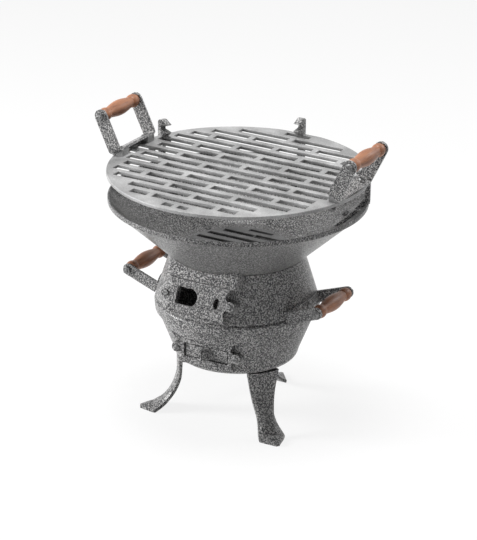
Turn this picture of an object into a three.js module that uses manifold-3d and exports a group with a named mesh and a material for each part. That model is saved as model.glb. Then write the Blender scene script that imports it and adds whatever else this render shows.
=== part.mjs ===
// A round cast-iron charcoal brazier on three legs: an ash base, a fire body with a sliding
// shutter, a wide coal bowl, and a slotted cooking grate that hangs in three hooked posts.
// Millimetres, +Z up. The origin is on the ground under the middle of the brazier, +X runs
// through the handles, and the fire door and draught door face -Y.

import * as THREE from 'three';
import { mergeVertices } from 'three/addons/utils/BufferGeometryUtils.js';
import Module from 'manifold-3d';

const wasm = await Module();
wasm.setup();

// ---------------------------------------------------------------- driving dimensions

const clearance = 0.3;          // between castings that seat on each other
const runningClearance = 0.35;  // each side of a piece that slides in a guide
const turns = 48;               // facets round the large castings
const wall = 5.5;               // thickness of the castings

// ash base
const baseBottomZ = 92;
const baseTopZ = 170;
const baseFootRadius = 90.5;
const baseFootCorner = 12;
const baseTopRadius = 113.5;
const baseSpigotRadius = 113;

// fire body
const skirtZ = 162;             // lower edge of the skirt that hides the seam
const skirtRadius = 117;
const shoulderZ = 177;
const shoulderRadius = 118.5;
const shoulderCorner = 5;
const neckZ = 248;
const neckRadius = 96;

// coal bowl
const bowlRadius = 185;
const rimZ = 333;
const rimHeight = 7;
const rimStep = 3.5;
const bowlWall = 4;
const bowlThroatRadius = 70;    // the hole under the fire grate
const bowlSpigotDepth = 12;

// fire grate, let into a ledge in the bottom of the bowl
const fireGrateRadius = 78;
const fireGrateThickness = 4;
const fireGrateRim = 4;
const fireGrateSeat = 2.5;      // depth of the ledge
const fireSlotWidth = 9;
const fireSlotPitch = 19.5;

// cooking grate
const grateOverhang = 1.6;      // how far its edge stands out past the bowl's rim
const grateFlatDepth = 2.6;     // the edge is cut flat where each post holds it
const grateThickness = 5;
const grateRise = 38;           // from the bowl's rim to the top of the grate
const grateTopZ = rimZ + grateRise;
const grateRim = 8.6;           // solid ring outside the slots
const edgeSlotLength = 40;      // of the short slots nearest the edge
const slotPitch = 23;
const slotWidth = 14.5;
const webPitch = 105;
const webWidth = 8.5;

// frame plates and what slides in them
const fireFrame = {
	width: 95, height: 47, thickness: 7, bottomZ: 190, frontY: 119.8, lean: 21.8, turn: 0,
};
const draughtFrame = {
	width: 86, height: 43, thickness: 6, bottomZ: 104, frontY: 96, lean: 0, turn: 3.5,
};
const earRadius = 8;
const earReach = 3.5;           // from the end of the plate to the middle of its ear
const biteRadius = 5;
const shutter = { height: 31, thickness: 3.1, travel: 12 };
const shutterEndGap = 1.5;      // from the end of its guide to the end of the plate
const shutterLength = fireFrame.width - 2 * (shutterEndGap + shutter.travel);
const fireWindow = { width: 68, height: 24.5, sill: 12 };
const shutterNotchRadius = 13;
const shutterNotchInset = 6.7;
const fingerHole = { width: 9.6, height: 15, inset: 17 };
const draughtWindow = { width: 70, height: 20.5, sill: 10.5 };
const draughtDoor = { length: 66, height: 18.5, thickness: 4, recess: 2.2 };
const pinch = { width: 13, height: 14, reach: 15 };

// legs
const legAngles = [90, 210, 330];
const legTwists = [0, 0, -7.5]; // each leg hangs on one bolt, and one has turned a little on it
const legTopWidth = 48;
const legWaistWidth = 26;
const legFlankWidth = 39;
const legTipWidth = 5;
const legEdge = 4.2;
const legCrown = 4.6;           // how far the rounded outer face stands above its edges
const legTabThickness = 6;
const legTabInset = 12;         // from the bolt to the tab's inner end
const legTabTaper = 0.62;       // width of the tab's inner end, as a share of the leg's top
const legBoltRadius = 66;
const legStemRadius = 79.8;
const legFlankRadius = 118;     // the widest place of the toe
const toeRadius = 139;

// grate posts
const postAngles = [22, 90, 158];
const postWidth = 9;
const postStem = 7;
const postBacking = 2.7;        // behind the notch that the grate's edge lies in
const postReach = 22;
const postTopZ = 396;
const postFootLength = 34;
const postFootThickness = 5;
const raisedNotchHeight = 6;
const noseHeight = 9.5;

// handles
const grip = {
	length: 88, endRadius: 6.6, ballRadius: 9.7, ballLength: 14.5, neckRadius: 7.7, bellyRadius: 11.2, bore: 3.4,
};
const strip = 3.6;              // thickness of the bent handle strips
const gripClearance = 0.35;
const grateHandle = { width: 20, rise: 66, lean: 26, footY: 34, setIn: 2 };
const lugHalfWidth = 8.5;
const bodyHandle = { width: 17, reach: 50, lean: 19.5, z: 188 };
const bendRadius = 5;

// fasteners
const boltRadius = 3;
const boltHeadRadius = 6;
const boltHeadHeight = 3.2;
const lowHeadHeight = 1.6;       // of the bolts through a grate handle's foot
const nutRadius = 6;
const nutHeight = 4.5;
const screwRadius = 2.2;
const screwHeadRadius = 4.4;
const screwHeadHeight = 2.4;
const slotDepth = 1;
const boltSides = 8;             // facets round a shank or a bolt hole
const headSides = 10;
const gripSides = 12;

// ---------------------------------------------------------------- small geometry tools

const rad = THREE.MathUtils.degToRad;

function solid(geometry) {
	const g = geometry.index ? geometry.toNonIndexed() : geometry.clone();
	g.deleteAttribute('normal');
	g.deleteAttribute('uv');
	const merged = mergeVertices(g, 1e-4);
	const mesh = new wasm.Mesh({
		numProp: 3,
		vertProperties: new Float32Array(merged.attributes.position.array),
		triVerts: new Uint32Array(merged.index.array),
	});
	return new wasm.Manifold(mesh);
}

function geometryOf(body) {
	const mesh = body.getMesh();
	const g = new THREE.BufferGeometry();
	g.setAttribute('position', new THREE.BufferAttribute(new Float32Array(mesh.vertProperties), 3));
	g.setIndex(new THREE.BufferAttribute(new Uint32Array(mesh.triVerts), 1));
	g.computeVertexNormals();
	return g;
}

function union(...bodies) {
	return bodies.reduce((a, b) => a.add(b));
}

function box(x0, x1, y0, y1, z0, z1) {
	const g = new THREE.BoxGeometry(x1 - x0, y1 - y0, z1 - z0);
	return g.translate((x0 + x1) / 2, (y0 + y1) / 2, (z0 + z1) / 2);
}

// a solid of revolution about Z from a closed list of [radius, height]
function lathe(profile, segments = turns) {
	const points = profile.map(([r, z]) => new THREE.Vector2(r, z));
	const onAxis = profile[0][0] === 0;
	if (!onAxis) {
		points.push(points[0].clone());
	}
	return new THREE.LatheGeometry(points, segments).rotateX(Math.PI / 2);
}

// a round rod between two heights, along Z
function rod(radius, z0, z1, sides = 16) {
	return new THREE.CylinderGeometry(radius, radius, z1 - z0, sides)
		.rotateX(Math.PI / 2).translate(0, 0, (z0 + z1) / 2);
}

// points on an arc, both ends included, angles in degrees
function arc(cx, cy, radius, from, to, steps) {
	const points = [];
	for (let i = 0; i <= steps; i++) {
		const a = rad(from + (to - from) * i / steps);
		points.push([cx + radius * Math.cos(a), cy + radius * Math.sin(a)]);
	}
	return points;
}

function shapeOf(points) {
	return new THREE.Shape(points.map(([x, y]) => new THREE.Vector2(x, y)));
}

// an outline in XY, thickened from z0 to z1
function slab(points, z0, z1, holes = []) {
	const shape = shapeOf(points);
	for (const hole of holes) {
		shape.holes.push(new THREE.Path(hole.map(([x, y]) => new THREE.Vector2(x, y))));
	}
	const g = new THREE.ExtrudeGeometry(shape, { depth: z1 - z0, bevelEnabled: false });
	return g.translate(0, 0, z0);
}

// moves a shape drawn in the XZ plane at y = 0 round the Z axis
function turned(geometry, degrees) {
	return geometry.rotateZ(rad(degrees));
}

const castPaint = { color: 0x6f6e6b, roughness: 0.55, metalness: 0.3 };
const rawCast = { color: 0xa5a4a2, roughness: 0.6, metalness: 0.4 };
const wood = { color: 0x9a5f3f, roughness: 0.45, metalness: 0 };
const steel = { color: 0x8f8f8f, roughness: 0.4, metalness: 0.8 };

const brazier = new THREE.Group();

function addPart(name, shape, finish) {
	const geometry = shape.getMesh ? geometryOf(shape) : shape;
	const mesh = new THREE.Mesh(geometry, new THREE.MeshStandardMaterial({ ...finish }));
	mesh.name = name;
	brazier.add(mesh);
	return mesh;
}

// ---------------------------------------------------------------- shared lines of the castings

const grateRadius = bowlRadius + grateOverhang;
const grateFlatRadius = grateRadius - grateFlatDepth;
const postOuterRadius = grateFlatRadius + clearance + postBacking;

// outer radius of the bowl's cone, of the body's cone and of the base's cone at a height
const bowlConeTop = { r: bowlRadius - rimStep, z: rimZ - rimHeight };

function slope(r0, z0, r1, z1) {
	return (r1 - r0) / (z1 - z0);
}

const bowlSlope = slope(neckRadius, neckZ, bowlConeTop.r, bowlConeTop.z);
const bodySlope = slope(shoulderRadius, shoulderZ, neckRadius, neckZ);
const baseFootTopZ = baseBottomZ + baseFootCorner;
const baseSlope = slope(baseFootRadius, baseFootTopZ, baseTopRadius, skirtZ);

function bowlOuter(z) {
	return neckRadius + bowlSlope * (z - neckZ);
}

function bodyOuter(z) {
	return shoulderRadius + bodySlope * (z - shoulderZ);
}

function baseOuter(z) {
	return baseFootRadius + baseSlope * (z - baseFootTopZ);
}

// a wall's thickness measured level instead of square to a slope
function levelWall(thickness, s) {
	return thickness * Math.hypot(1, s);
}

const bowlLevelWall = levelWall(bowlWall, bowlSlope);
const bodyLevelWall = levelWall(wall, bodySlope);
const baseLevelWall = levelWall(wall, baseSlope);

// everything above the bowl's underside, to trim what stands against it
function aboveBowl(gap) {
	const drop = gap * Math.hypot(1, 1 / bowlSlope);
	const top = rimZ + 40;
	return solid(lathe([
		[0, neckZ - gap],
		[neckRadius - 1, neckZ - gap],
		[neckRadius, neckZ - drop],
		[bowlOuter(top), top - drop],
		[0, top - drop],
	]));
}

// a frame plate's own axes: x along the plate, y up its face, z out of its front
function frameMatrix(frame) {
	return new THREE.Matrix4().makeRotationZ(rad(frame.turn))
		.multiply(new THREE.Matrix4().makeTranslation(0, -frame.frontY, frame.bottomZ))
		.multiply(new THREE.Matrix4().makeRotationX(Math.PI / 2 - rad(frame.lean)));
}

function onFrame(geometry, frame) {
	return geometry.applyMatrix4(frameMatrix(frame));
}

// ---------------------------------------------------------------- frame plates

function earCentre(frame) {
	return [frame.width / 2 + earReach, frame.height / 2];
}

// a plate with a round ear and two small bites at the middle of each end
function frameOutline(frame) {
	const [ex, ey] = earCentre(frame);
	const half = frame.width / 2;
	const biteY = earRadius + biteRadius - 1.5;
	const side = [
		[half, 0],
		...arc(half + 1, ey - biteY, biteRadius, 230, 110, 4),
		...arc(ex, ey, earRadius, -60, 60, 6),
		...arc(half + 1, ey + biteY, biteRadius, 250, 130, 4),
		[half, frame.height],
	];
	const other = side.map(([x, y]) => [-x, y]).reverse();
	return [...side, ...other];
}

function rectangle(x0, x1, y0, y1) {
	return [[x0, y0], [x1, y0], [x1, y1], [x0, y1]];
}

function windowOutline(window, grow = 0) {
	const half = window.width / 2 + grow;
	return rectangle(-half, half, window.sill - grow, window.sill + window.height + grow);
}

function framePlate(frame, window) {
	const plate = solid(slab(frameOutline(frame), -frame.thickness, 0, [windowOutline(window)]));
	const [ex, ey] = earCentre(frame);
	const bore = screwRadius + clearance;
	const holes = [-1, 1].map((side) => solid(
		rod(bore, -frame.thickness - 1, 1, boltSides).translate(side * ex, ey, 0)));
	return holes.reduce((body, hole) => body.subtract(hole), plate);
}

function moved(body, frame) {
	return solid(onFrame(geometryOf(body), frame));
}

const guideHalf = shutterLength / 2 + shutter.travel;
const shutterMiddleY = fireWindow.sill + fireWindow.height / 2;
const guideDepth = shutter.thickness + 2 * runningClearance;

function fireDoorFrame() {
	const half = guideHalf + runningClearance;
	const low = shutterMiddleY - shutter.height / 2 - runningClearance;
	const guide = solid(box(-half, half, low, low + shutter.height + 2 * runningClearance,
		-fireFrame.thickness - 1, -fireFrame.thickness + guideDepth));
	const plate = framePlate(fireFrame, fireWindow).subtract(guide);
	return moved(plate, fireFrame);
}

// the shutter stands open in the photograph, hard against the right end of its guide
function fireDoorShutter() {
	const right = guideHalf;
	const left = right - shutterLength;
	const low = shutterMiddleY - shutter.height / 2;
	const back = -fireFrame.thickness + runningClearance;
	const blank = solid(slab(rectangle(left, right, low, low + shutter.height),
		back, back + shutter.thickness));
	const notch = solid(rod(shutterNotchRadius, back - 1, back + shutter.thickness + 1, 28)
		.translate(left + shutterNotchInset, shutterMiddleY - 1, 0));
	const hole = solid(rod(1, back - 1, back + shutter.thickness + 1, 20)
		.scale(fingerHole.width / 2, fingerHole.height / 2, 1)
		.translate(right - fingerHole.inset, shutterMiddleY - 1, 0));
	return moved(blank.subtract(notch).subtract(hole), fireFrame);
}

// a plug that stands loose in its window, with a V-shaped pinch to pull it by
function draughtDoorPlate() {
	const half = draughtDoor.length / 2;
	const low = draughtWindow.sill + clearance;
	const front = -draughtDoor.recess;
	const plug = solid(slab(rectangle(-half, half, low, low + draughtDoor.height),
		front - draughtDoor.thickness, front));
	const middle = low + draughtDoor.height / 2;
	const base = pinch.width / 2;
	const outline = [
		[-base, front - 1],
		[base, front - 1],
		[base, front + 2],
		[2.2, pinch.reach + front],
		[0.6, pinch.reach + front],
		[0, front + 5],
		[-0.6, pinch.reach + front],
		[-2.2, pinch.reach + front],
		[-base, front + 2],
	];
	const blade = slab(outline, -pinch.height / 2, pinch.height / 2)
		.rotateX(Math.PI / 2).translate(0, middle, 0);
	return moved(plug.add(solid(blade)), draughtFrame);
}

// ---------------------------------------------------------------- ash base

const draughtSeat = draughtFrame.thickness + clearance;

function ashBase() {
	const cornerZ = baseFootTopZ;
	const innerFoot = baseFootRadius - baseLevelWall;
	const floorZ = baseBottomZ + wall;
	const shell = solid(lathe([
		[0, baseBottomZ],
		...arc(baseFootRadius - baseFootCorner, cornerZ, baseFootCorner, -90, 0, 5),
		[baseTopRadius, skirtZ],
		[baseSpigotRadius, baseTopZ],
		[baseSpigotRadius - wall, baseTopZ],
		[baseOuter(skirtZ) - baseLevelWall, skirtZ],
		[innerFoot, cornerZ],
		[innerFoot - 8, floorZ],
		[0, floorZ],
	]));
	const [ex, ey] = earCentre(draughtFrame);
	const back = draughtSeat + wall;
	const depth = 32;
	const half = draughtFrame.width / 2;
	const boss = union(
		solid(box(-half, half, 0, draughtFrame.height + 1, -depth, -draughtSeat)),
		...[-1, 1].map((side) => solid(
			rod(earRadius, -depth, -draughtSeat, 16).translate(side * ex, ey, 0))),
	);
	const above = solid(box(-200, 200, -200, 200, baseBottomZ, skirtZ));
	const seat = solid(onFrame(geometryOf(boss), draughtFrame)).intersect(above);
	const pocket = solid(onFrame(
		box(-half - 15, half + 15, -0.5, draughtFrame.height + clearance, -draughtSeat, 30), draughtFrame));
	const hollow = solid(onFrame(
		box(-half + wall, half - wall, 0, draughtFrame.height - 3, -depth - 30, -back), draughtFrame));
	const opening = solid(onFrame(slab(windowOutline(draughtWindow, -1), -back - 1, 1), draughtFrame));
	const inner = solid(lathe([
		[0, floorZ],
		[innerFoot - 8, floorZ],
		[innerFoot, cornerZ],
		[baseOuter(skirtZ) - baseLevelWall, skirtZ],
		[0, skirtZ],
	]));
	let body = shell.add(seat.subtract(inner)).subtract(hollow.intersect(inner.add(seat)))
		.subtract(pocket).subtract(opening);
	for (const side of [-1, 1]) {
		const bore = rod(screwRadius + clearance, -back - 20, 1, boltSides).translate(side * ex, ey, 0);
		body = body.subtract(solid(onFrame(bore, draughtFrame)));
	}
	for (const angle of legAngles) {
		const hole = rod(boltRadius + clearance, baseBottomZ - 1, floorZ + 1, boltSides);
		body = body.subtract(solid(turned(hole.translate(legBoltRadius, 0, 0), angle)));
	}
	return body;
}

// ---------------------------------------------------------------- fire body

const fireSeat = fireFrame.thickness + clearance;
const bodyTopInner = fireGrateRadius + 1.5;

function fireBody() {
	const seamZ = baseTopZ + clearance;
	const skirtInner = baseTopRadius + clearance + 0.4;
	const innerTopZ = neckZ - wall;
	const shell = solid(lathe([
		[skirtInner, skirtZ],
		[skirtRadius, skirtZ],
		[skirtRadius + 0.7, skirtZ + 4],
		...arc(shoulderRadius - shoulderCorner, shoulderZ - 2, shoulderCorner, 0, 70, 3),
		[bodyOuter(shoulderZ + 6), shoulderZ + 6],
		[neckRadius, neckZ],
		[bodyTopInner, neckZ],
		[bodyTopInner, innerTopZ],
		[bodyOuter(innerTopZ) - bodyLevelWall, innerTopZ],
		[bodyOuter(shoulderZ) - bodyLevelWall - 1, shoulderZ],
		[baseSpigotRadius - wall, seamZ],
		[skirtInner, seamZ],
	]));
	const [ex, ey] = earCentre(fireFrame);
	const half = fireFrame.width / 2;
	const panelHalf = ex + earRadius - 3;
	const panelTop = fireFrame.height + 35;
	const depth = 34;
	const gap = clearance;
	const block = union(
		solid(box(-half, half, -3, fireFrame.height + 1, -depth, -fireSeat)),
		solid(box(-panelHalf, panelHalf, fireFrame.height + gap, panelTop, -depth, -0.4)),
		...[-1, 1].map((side) => solid(
			rod(earRadius, -depth, -fireSeat, 16).translate(side * ex, ey, 0))),
	);
	const panel = solid(onFrame(geometryOf(block), fireFrame));
	const inside = solid(lathe([
		[0, seamZ],
		[baseSpigotRadius - wall, seamZ],
		[bodyOuter(shoulderZ) - bodyLevelWall - 1, shoulderZ],
		[bodyOuter(innerTopZ) - bodyLevelWall, innerTopZ],
		[bodyTopInner, innerTopZ],
		[bodyTopInner, neckZ + 30],
		[0, neckZ + 30],
	]));
	const hollow = solid(onFrame(
		box(-half + wall, half - wall, 3, fireFrame.height + 6, -depth - 30, -fireSeat - wall), fireFrame));
	const pocket = solid(onFrame(
		box(-panelHalf, panelHalf, -0.4, fireFrame.height + gap, -fireSeat, 30), fireFrame));
	const opening = solid(onFrame(slab(windowOutline(fireWindow, 1), -fireSeat - wall - 2, 1), fireFrame));
	let body = shell.add(panel.subtract(inside)).subtract(hollow).subtract(pocket).subtract(opening);
	for (const side of [-1, 1]) {
		const bore = rod(screwRadius + clearance, -fireSeat - 18, 1, boltSides).translate(side * ex, ey, 0);
		body = body.subtract(solid(onFrame(bore, fireFrame)));
	}
	for (const angle of bowlBoltAngles) {
		const hole = rod(boltRadius + clearance, innerTopZ - 1, neckZ + 1, boltSides);
		body = body.subtract(solid(turned(hole.translate(bowlBoltRadius, 0, 0), angle)));
	}
	for (const side of [-1, 1]) {
		body = body.subtract(bodyHandleBoltHole(side));
	}
	return body.subtract(aboveBowl(clearance));
}

// ---------------------------------------------------------------- coal bowl and fire grate

const bowlBoltAngles = [30, 150, 270];
const bowlFloorTopZ = neckZ + bowlWall + clearance;
const bowlBoltRadius = bodyTopInner + 6.5;
const fireGrateZ = bowlFloorTopZ - fireGrateSeat + clearance;

function coalBowl() {
	const floorZ = neckZ + clearance;
	const inner = bowlLevelWall;
	const rimInner = bowlOuter(rimZ - 2) - inner;
	const shell = lathe([
		[bowlThroatRadius, floorZ - bowlSpigotDepth],
		[bodyTopInner - 0.5, floorZ - bowlSpigotDepth],
		[bodyTopInner - 0.5, floorZ],
		[neckRadius, floorZ],
		[bowlConeTop.r, bowlConeTop.z],
		[bowlRadius - 1, bowlConeTop.z],
		[bowlRadius, bowlConeTop.z + 1],
		[bowlRadius, rimZ - 1],
		[bowlRadius - 1, rimZ],
		[rimInner + 1.5, rimZ],
		[bowlOuter(rimZ - 4) - inner, rimZ - 4],
		[bowlOuter(bowlFloorTopZ) - inner, bowlFloorTopZ],
		[fireGrateRadius + clearance, bowlFloorTopZ],
		[fireGrateRadius + clearance, bowlFloorTopZ - fireGrateSeat],
		[bowlThroatRadius, bowlFloorTopZ - fireGrateSeat],
	]);
	let body = solid(shell);
	for (const angle of bowlBoltAngles) {
		const hole = rod(boltRadius + clearance, floorZ - 1, bowlFloorTopZ + 1, boltSides);
		body = body.subtract(solid(turned(hole.translate(bowlBoltRadius, 0, 0), angle)));
	}
	for (const angle of postAngles) {
		body = body.subtract(postBoltHole(angle));
	}
	return body;
}

// slots in rows across a round plate, with the webs of odd rows set half a pitch along; where a
// row's outer side would leave the plate, a shorter and narrower slot takes its place
function slotRows(radius, rowPitch, width, webStep, web, edgeLength, reachAt) {
	const slots = [];
	const lastSide = Math.sqrt(radius * radius - edgeLength * edgeLength / 4);
	const rows = Math.floor(lastSide / rowPitch + 0.5);
	for (let row = -rows; row < rows; row++) {
		const middle = Math.abs(row + 0.5) * rowPitch;
		const near = middle - width / 2;
		const far = Math.min(middle + width / 2, lastSide);
		if (far - near < width / 2) {
			continue;
		}
		const side = Math.sign(row + 0.5);
		const reach = Math.min(Math.sqrt(radius * radius - far * far), reachAt(middle));
		const offset = row % 2 === 0 ? 0 : webStep / 2;
		const first = Math.ceil((-reach - offset) / webStep) - 1;
		for (let k = first; k * webStep + offset < reach; k++) {
			const x0 = Math.max(k * webStep + offset + web / 2, -reach);
			const x1 = Math.min((k + 1) * webStep + offset - web / 2, reach);
			if (x1 - x0 > width * 0.7) {
				slots.push(rectangle(x0, x1, Math.min(side * near, side * far), Math.max(side * near, side * far)));
			}
		}
	}
	return slots;
}

// a round plate with slots cut right through it
function slottedDisc(radius, sides, z0, z1, slots) {
	const plate = solid(rod(radius, z0, z1, sides));
	const cuts = slots.map((slot) => solid(slab(slot, z0 - 1, z1 + 1)));
	return plate.subtract(union(...cuts));
}

function fireGrate() {
	const slots = slotRows(fireGrateRadius - fireGrateRim, fireSlotPitch, fireSlotWidth,
		4 * fireGrateRadius, 0, 2 * fireSlotPitch, () => fireGrateRadius);
	return slottedDisc(fireGrateRadius, turns, fireGrateZ, fireGrateZ + fireGrateThickness, slots);
}

// ---------------------------------------------------------------- cooking grate and its handles

const grateBottomZ = grateTopZ - grateThickness;
const lean = rad(grateHandle.lean);
const handleFootX = grateRadius - grateHandle.setIn;
const lugInnerX = handleFootX - grateHandle.width * Math.cos(lean);

// the lean of a grate handle's foot: height of its underside above the grate at a given x
function footHeight(x) {
	return 1 + (handleFootX - x) * Math.tan(lean);
}

// a wedge on the grate's edge that carries one end of a handle's foot
function handleLug(side, y) {
	const x0 = lugInnerX;
	const x1 = handleFootX;
	const outline = [
		[x0, grateTopZ - 1],
		[x1, grateTopZ - 1],
		[x1, grateTopZ + footHeight(x1) - clearance],
		[x0, grateTopZ + footHeight(x0) - clearance],
	];
	const wedge = slab(outline, -lugHalfWidth, lugHalfWidth).rotateX(Math.PI / 2).translate(0, y, 0);
	return side > 0 ? wedge : wedge.rotateZ(Math.PI).translate(0, 2 * y, 0);
}

// how far from the middle a row of slots may reach: rows that meet a lug stop short of it
function grateReach(y) {
	const meetsLug = Math.abs(y - grateHandle.footY) < lugHalfWidth + slotWidth / 2;
	return meetsLug ? lugInnerX - webWidth / 2 : grateRadius;
}

function cookingGrate() {
	const slots = slotRows(grateRadius - grateRim, slotPitch, slotWidth, webPitch, webWidth,
		edgeSlotLength, grateReach);
	let body = slottedDisc(grateRadius, 96, grateBottomZ, grateTopZ, slots);
	for (const angle of postAngles) {
		const flat = box(grateFlatRadius, grateRadius + 5, -60, 60, grateBottomZ - 1, grateTopZ + 1);
		body = body.subtract(solid(turned(flat, angle)));
	}
	const ends = [-1, 1].flatMap((side) => [-1, 1].map((end) => [side, end * grateHandle.footY]));
	for (const [side, y] of ends) {
		body = body.add(solid(handleLug(side, y)));
	}
	for (const [side, y] of ends) {
		const bore = rod(boltRadius + clearance, -20, 20, boltSides).translate(0, y, 0);
		body = body.subtract(solid(onGrateHandle(bore, side)));
	}
	return body;
}

const gripOuter = grip.length / 2 + gripClearance;

// a U of bent strip seen square on: the foot lies along y, the arms rise along z to round ends
function handleOutline(rise) {
	const inside = gripOuter;
	const outside = inside + strip;
	return [
		[-outside, rise],
		...arc(-outside + bendRadius, bendRadius, bendRadius, 180, 270, 4),
		...arc(outside - bendRadius, bendRadius, bendRadius, 270, 360, 4),
		[outside, rise],
		[inside, rise],
		...arc(inside - bendRadius + strip, bendRadius, bendRadius - strip, 360, 270, 3),
		...arc(-inside + bendRadius - strip, bendRadius, bendRadius - strip, 270, 180, 3),
		[-inside, rise],
	];
}

// rounds the free ends of a U of strip that lies in the plane x = 0, and bores them for the grip bolt
function bentStrip(rise, width) {
	const flat = solid(slab(handleOutline(rise), -width / 2, width / 2)
		.rotateX(Math.PI / 2).rotateZ(Math.PI / 2));
	const reach = gripOuter + strip + 5;
	const half = width / 2;
	const gripZ = rise - half;
	const outline = [
		[-half, -1],
		[half, -1],
		...arc(0, gripZ, half, 0, 180, 10),
	];
	const mask = solid(slab(outline, -reach, reach).rotateX(Math.PI / 2));
	const bore = solid(rod(boltRadius + clearance, -reach, reach, boltSides).rotateX(Math.PI / 2)
		.translate(0, 0, gripZ));
	return flat.intersect(mask).subtract(bore);
}

// puts something drawn on a handle's own axes onto the grate: z up the arms, x out of the U
function onGrateHandle(geometry, side) {
	const middle = (lugInnerX + handleFootX) / 2;
	const g = geometry.rotateY(lean).translate(middle, 0, grateTopZ + footHeight(middle));
	return side > 0 ? g : g.rotateZ(Math.PI);
}

function grateHandleBracket(side) {
	let body = bentStrip(grateHandle.rise, grateHandle.width);
	for (const end of [-1, 1]) {
		body = body.subtract(solid(rod(boltRadius + clearance, -1, strip + 1, boltSides)
			.translate(0, end * grateHandle.footY, 0)));
	}
	return solid(onGrateHandle(geometryOf(body), side));
}

// a smooth rise and fall from 0 to 1 and back, as t goes from 0 to 1
function swell(t) {
	return Math.pow((1 - Math.cos(2 * Math.PI * t)) / 2, 0.7);
}

// a turned grip along y, bored through for its bolt: a ball at each end and a belly between
function turnedGrip() {
	const half = grip.length / 2;
	const ballSteps = 4;
	const bellySteps = 8;
	const ball = [];
	for (let i = 0; i <= ballSteps; i++) {
		const t = i / ballSteps;
		const foot = t < 0.5 ? grip.endRadius : grip.neckRadius;
		ball.push([foot + (grip.ballRadius - foot) * swell(t), -half + grip.ballLength * t]);
	}
	const bellyHalf = half - grip.ballLength;
	const belly = [];
	for (let i = 1; i < bellySteps; i++) {
		const t = i / bellySteps;
		belly.push([grip.neckRadius + (grip.bellyRadius - grip.neckRadius) * swell(t), bellyHalf * (2 * t - 1)]);
	}
	const otherBall = ball.map(([r, y]) => [r, -y]).reverse();
	const profile = [[grip.bore, -half], ...ball, ...belly, ...otherBall, [grip.bore, half]];
	return lathe(profile, gripSides).rotateX(Math.PI / 2);
}

// a bolt through both arms and the grip: a slotted round head at one end, a nut at the other
function gripBolt() {
	const reach = gripOuter + strip + clearance;
	const shank = solid(rod(boltRadius, -reach - 1, reach + nutHeight + 1, boltSides));
	const head = slottedHead(boltHeadRadius, boltHeadHeight);
	const nut = solid(rod(nutRadius, reach, reach + nutHeight, 6));
	const placedHead = solid(geometryOf(head).rotateX(Math.PI).translate(0, 0, -reach));
	return geometryOf(union(shank, nut, placedHead)).rotateX(Math.PI / 2).rotateX(Math.PI);
}

// a low domed head that stands on z = 0, with a screwdriver slot
function slottedHead(radius, height) {
	const dome = solid(lathe([
		[0, 0],
		[radius, 0],
		[radius, height * 0.4],
		[radius * 0.7, height],
		[0, height],
	], headSides));
	const cut = solid(box(-radius, radius, -0.7, 0.7, height - slotDepth, height + 1));
	return dome.subtract(cut);
}

// ---------------------------------------------------------------- body handles

const bodyHandleRadius = bodyOuter(bodyHandle.z) + clearance;

// puts something drawn on a handle's own axes onto the body: z out along the arms
function onBodyHandle(geometry, side) {
	const g = geometry.rotateY(Math.PI / 2 - rad(bodyHandle.lean))
		.translate(bodyHandleRadius + 0.4, 0, bodyHandle.z);
	return side > 0 ? g : g.rotateZ(Math.PI);
}

// a U whose foot is curved to hug the body, its arms reaching out and up
function bodyHandleBracket(side) {
	const inside = gripOuter;
	const outside = inside + strip;
	const hug = bodyHandleRadius + 1.5;
	const sag = (y) => Math.sqrt(hug * hug - y * y) - hug;
	const foot = [];
	for (let i = 0; i <= 10; i++) {
		foot.push(-outside + 2 * outside * i / 10);
	}
	const reach = bodyHandle.reach;
	const profile = [
		[-outside, reach],
		...foot.map((y) => [y, sag(y)]),
		[outside, reach],
		[inside, reach],
		...foot.slice().reverse().map((y) => [y * inside / outside, sag(y) + strip]),
		[-inside, reach],
	];
	const width = bodyHandle.width;
	const half = width / 2;
	const flat = solid(slab(profile, -half, half).rotateX(Math.PI / 2).rotateZ(Math.PI / 2));
	const gripZ = reach - half;
	const outline = [
		[-half, -40],
		[half, -40],
		...arc(0, gripZ, half, 0, 180, 10),
	];
	const span = outside + 5;
	const mask = solid(slab(outline, -span, span).rotateX(Math.PI / 2));
	const bore = solid(rod(boltRadius + clearance, -span, span, boltSides).rotateX(Math.PI / 2)
		.translate(0, 0, gripZ));
	const hole = solid(rod(boltRadius + clearance, -5, strip + 5, boltSides));
	return solid(onBodyHandle(geometryOf(flat.intersect(mask).subtract(bore).subtract(hole)), side));
}

function bodyHandleBoltHole(side) {
	return solid(onBodyHandle(rod(boltRadius + clearance, -20, 5, boltSides), side));
}

function bodyHandleBolt(side) {
	const inner = bodyLevelWall + 2.2;
	const shank = solid(rod(boltRadius, -inner - nutHeight - 1, strip + 0.5, boltSides));
	const head = solid(geometryOf(slottedHead(boltHeadRadius, boltHeadHeight))
		.translate(0, 0, strip + clearance));
	const nut = solid(rod(nutRadius, -inner - nutHeight, -inner, 6));
	return solid(onBodyHandle(geometryOf(union(shank, head, nut)), side));
}

// ---------------------------------------------------------------- grate posts

// the bowl's inner face at a height
function bowlInner(z) {
	return bowlOuter(z) - bowlLevelWall;
}

const postBoltZ = rimZ - 22;
const bowlLean = Math.atan(1 / bowlSlope);

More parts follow.
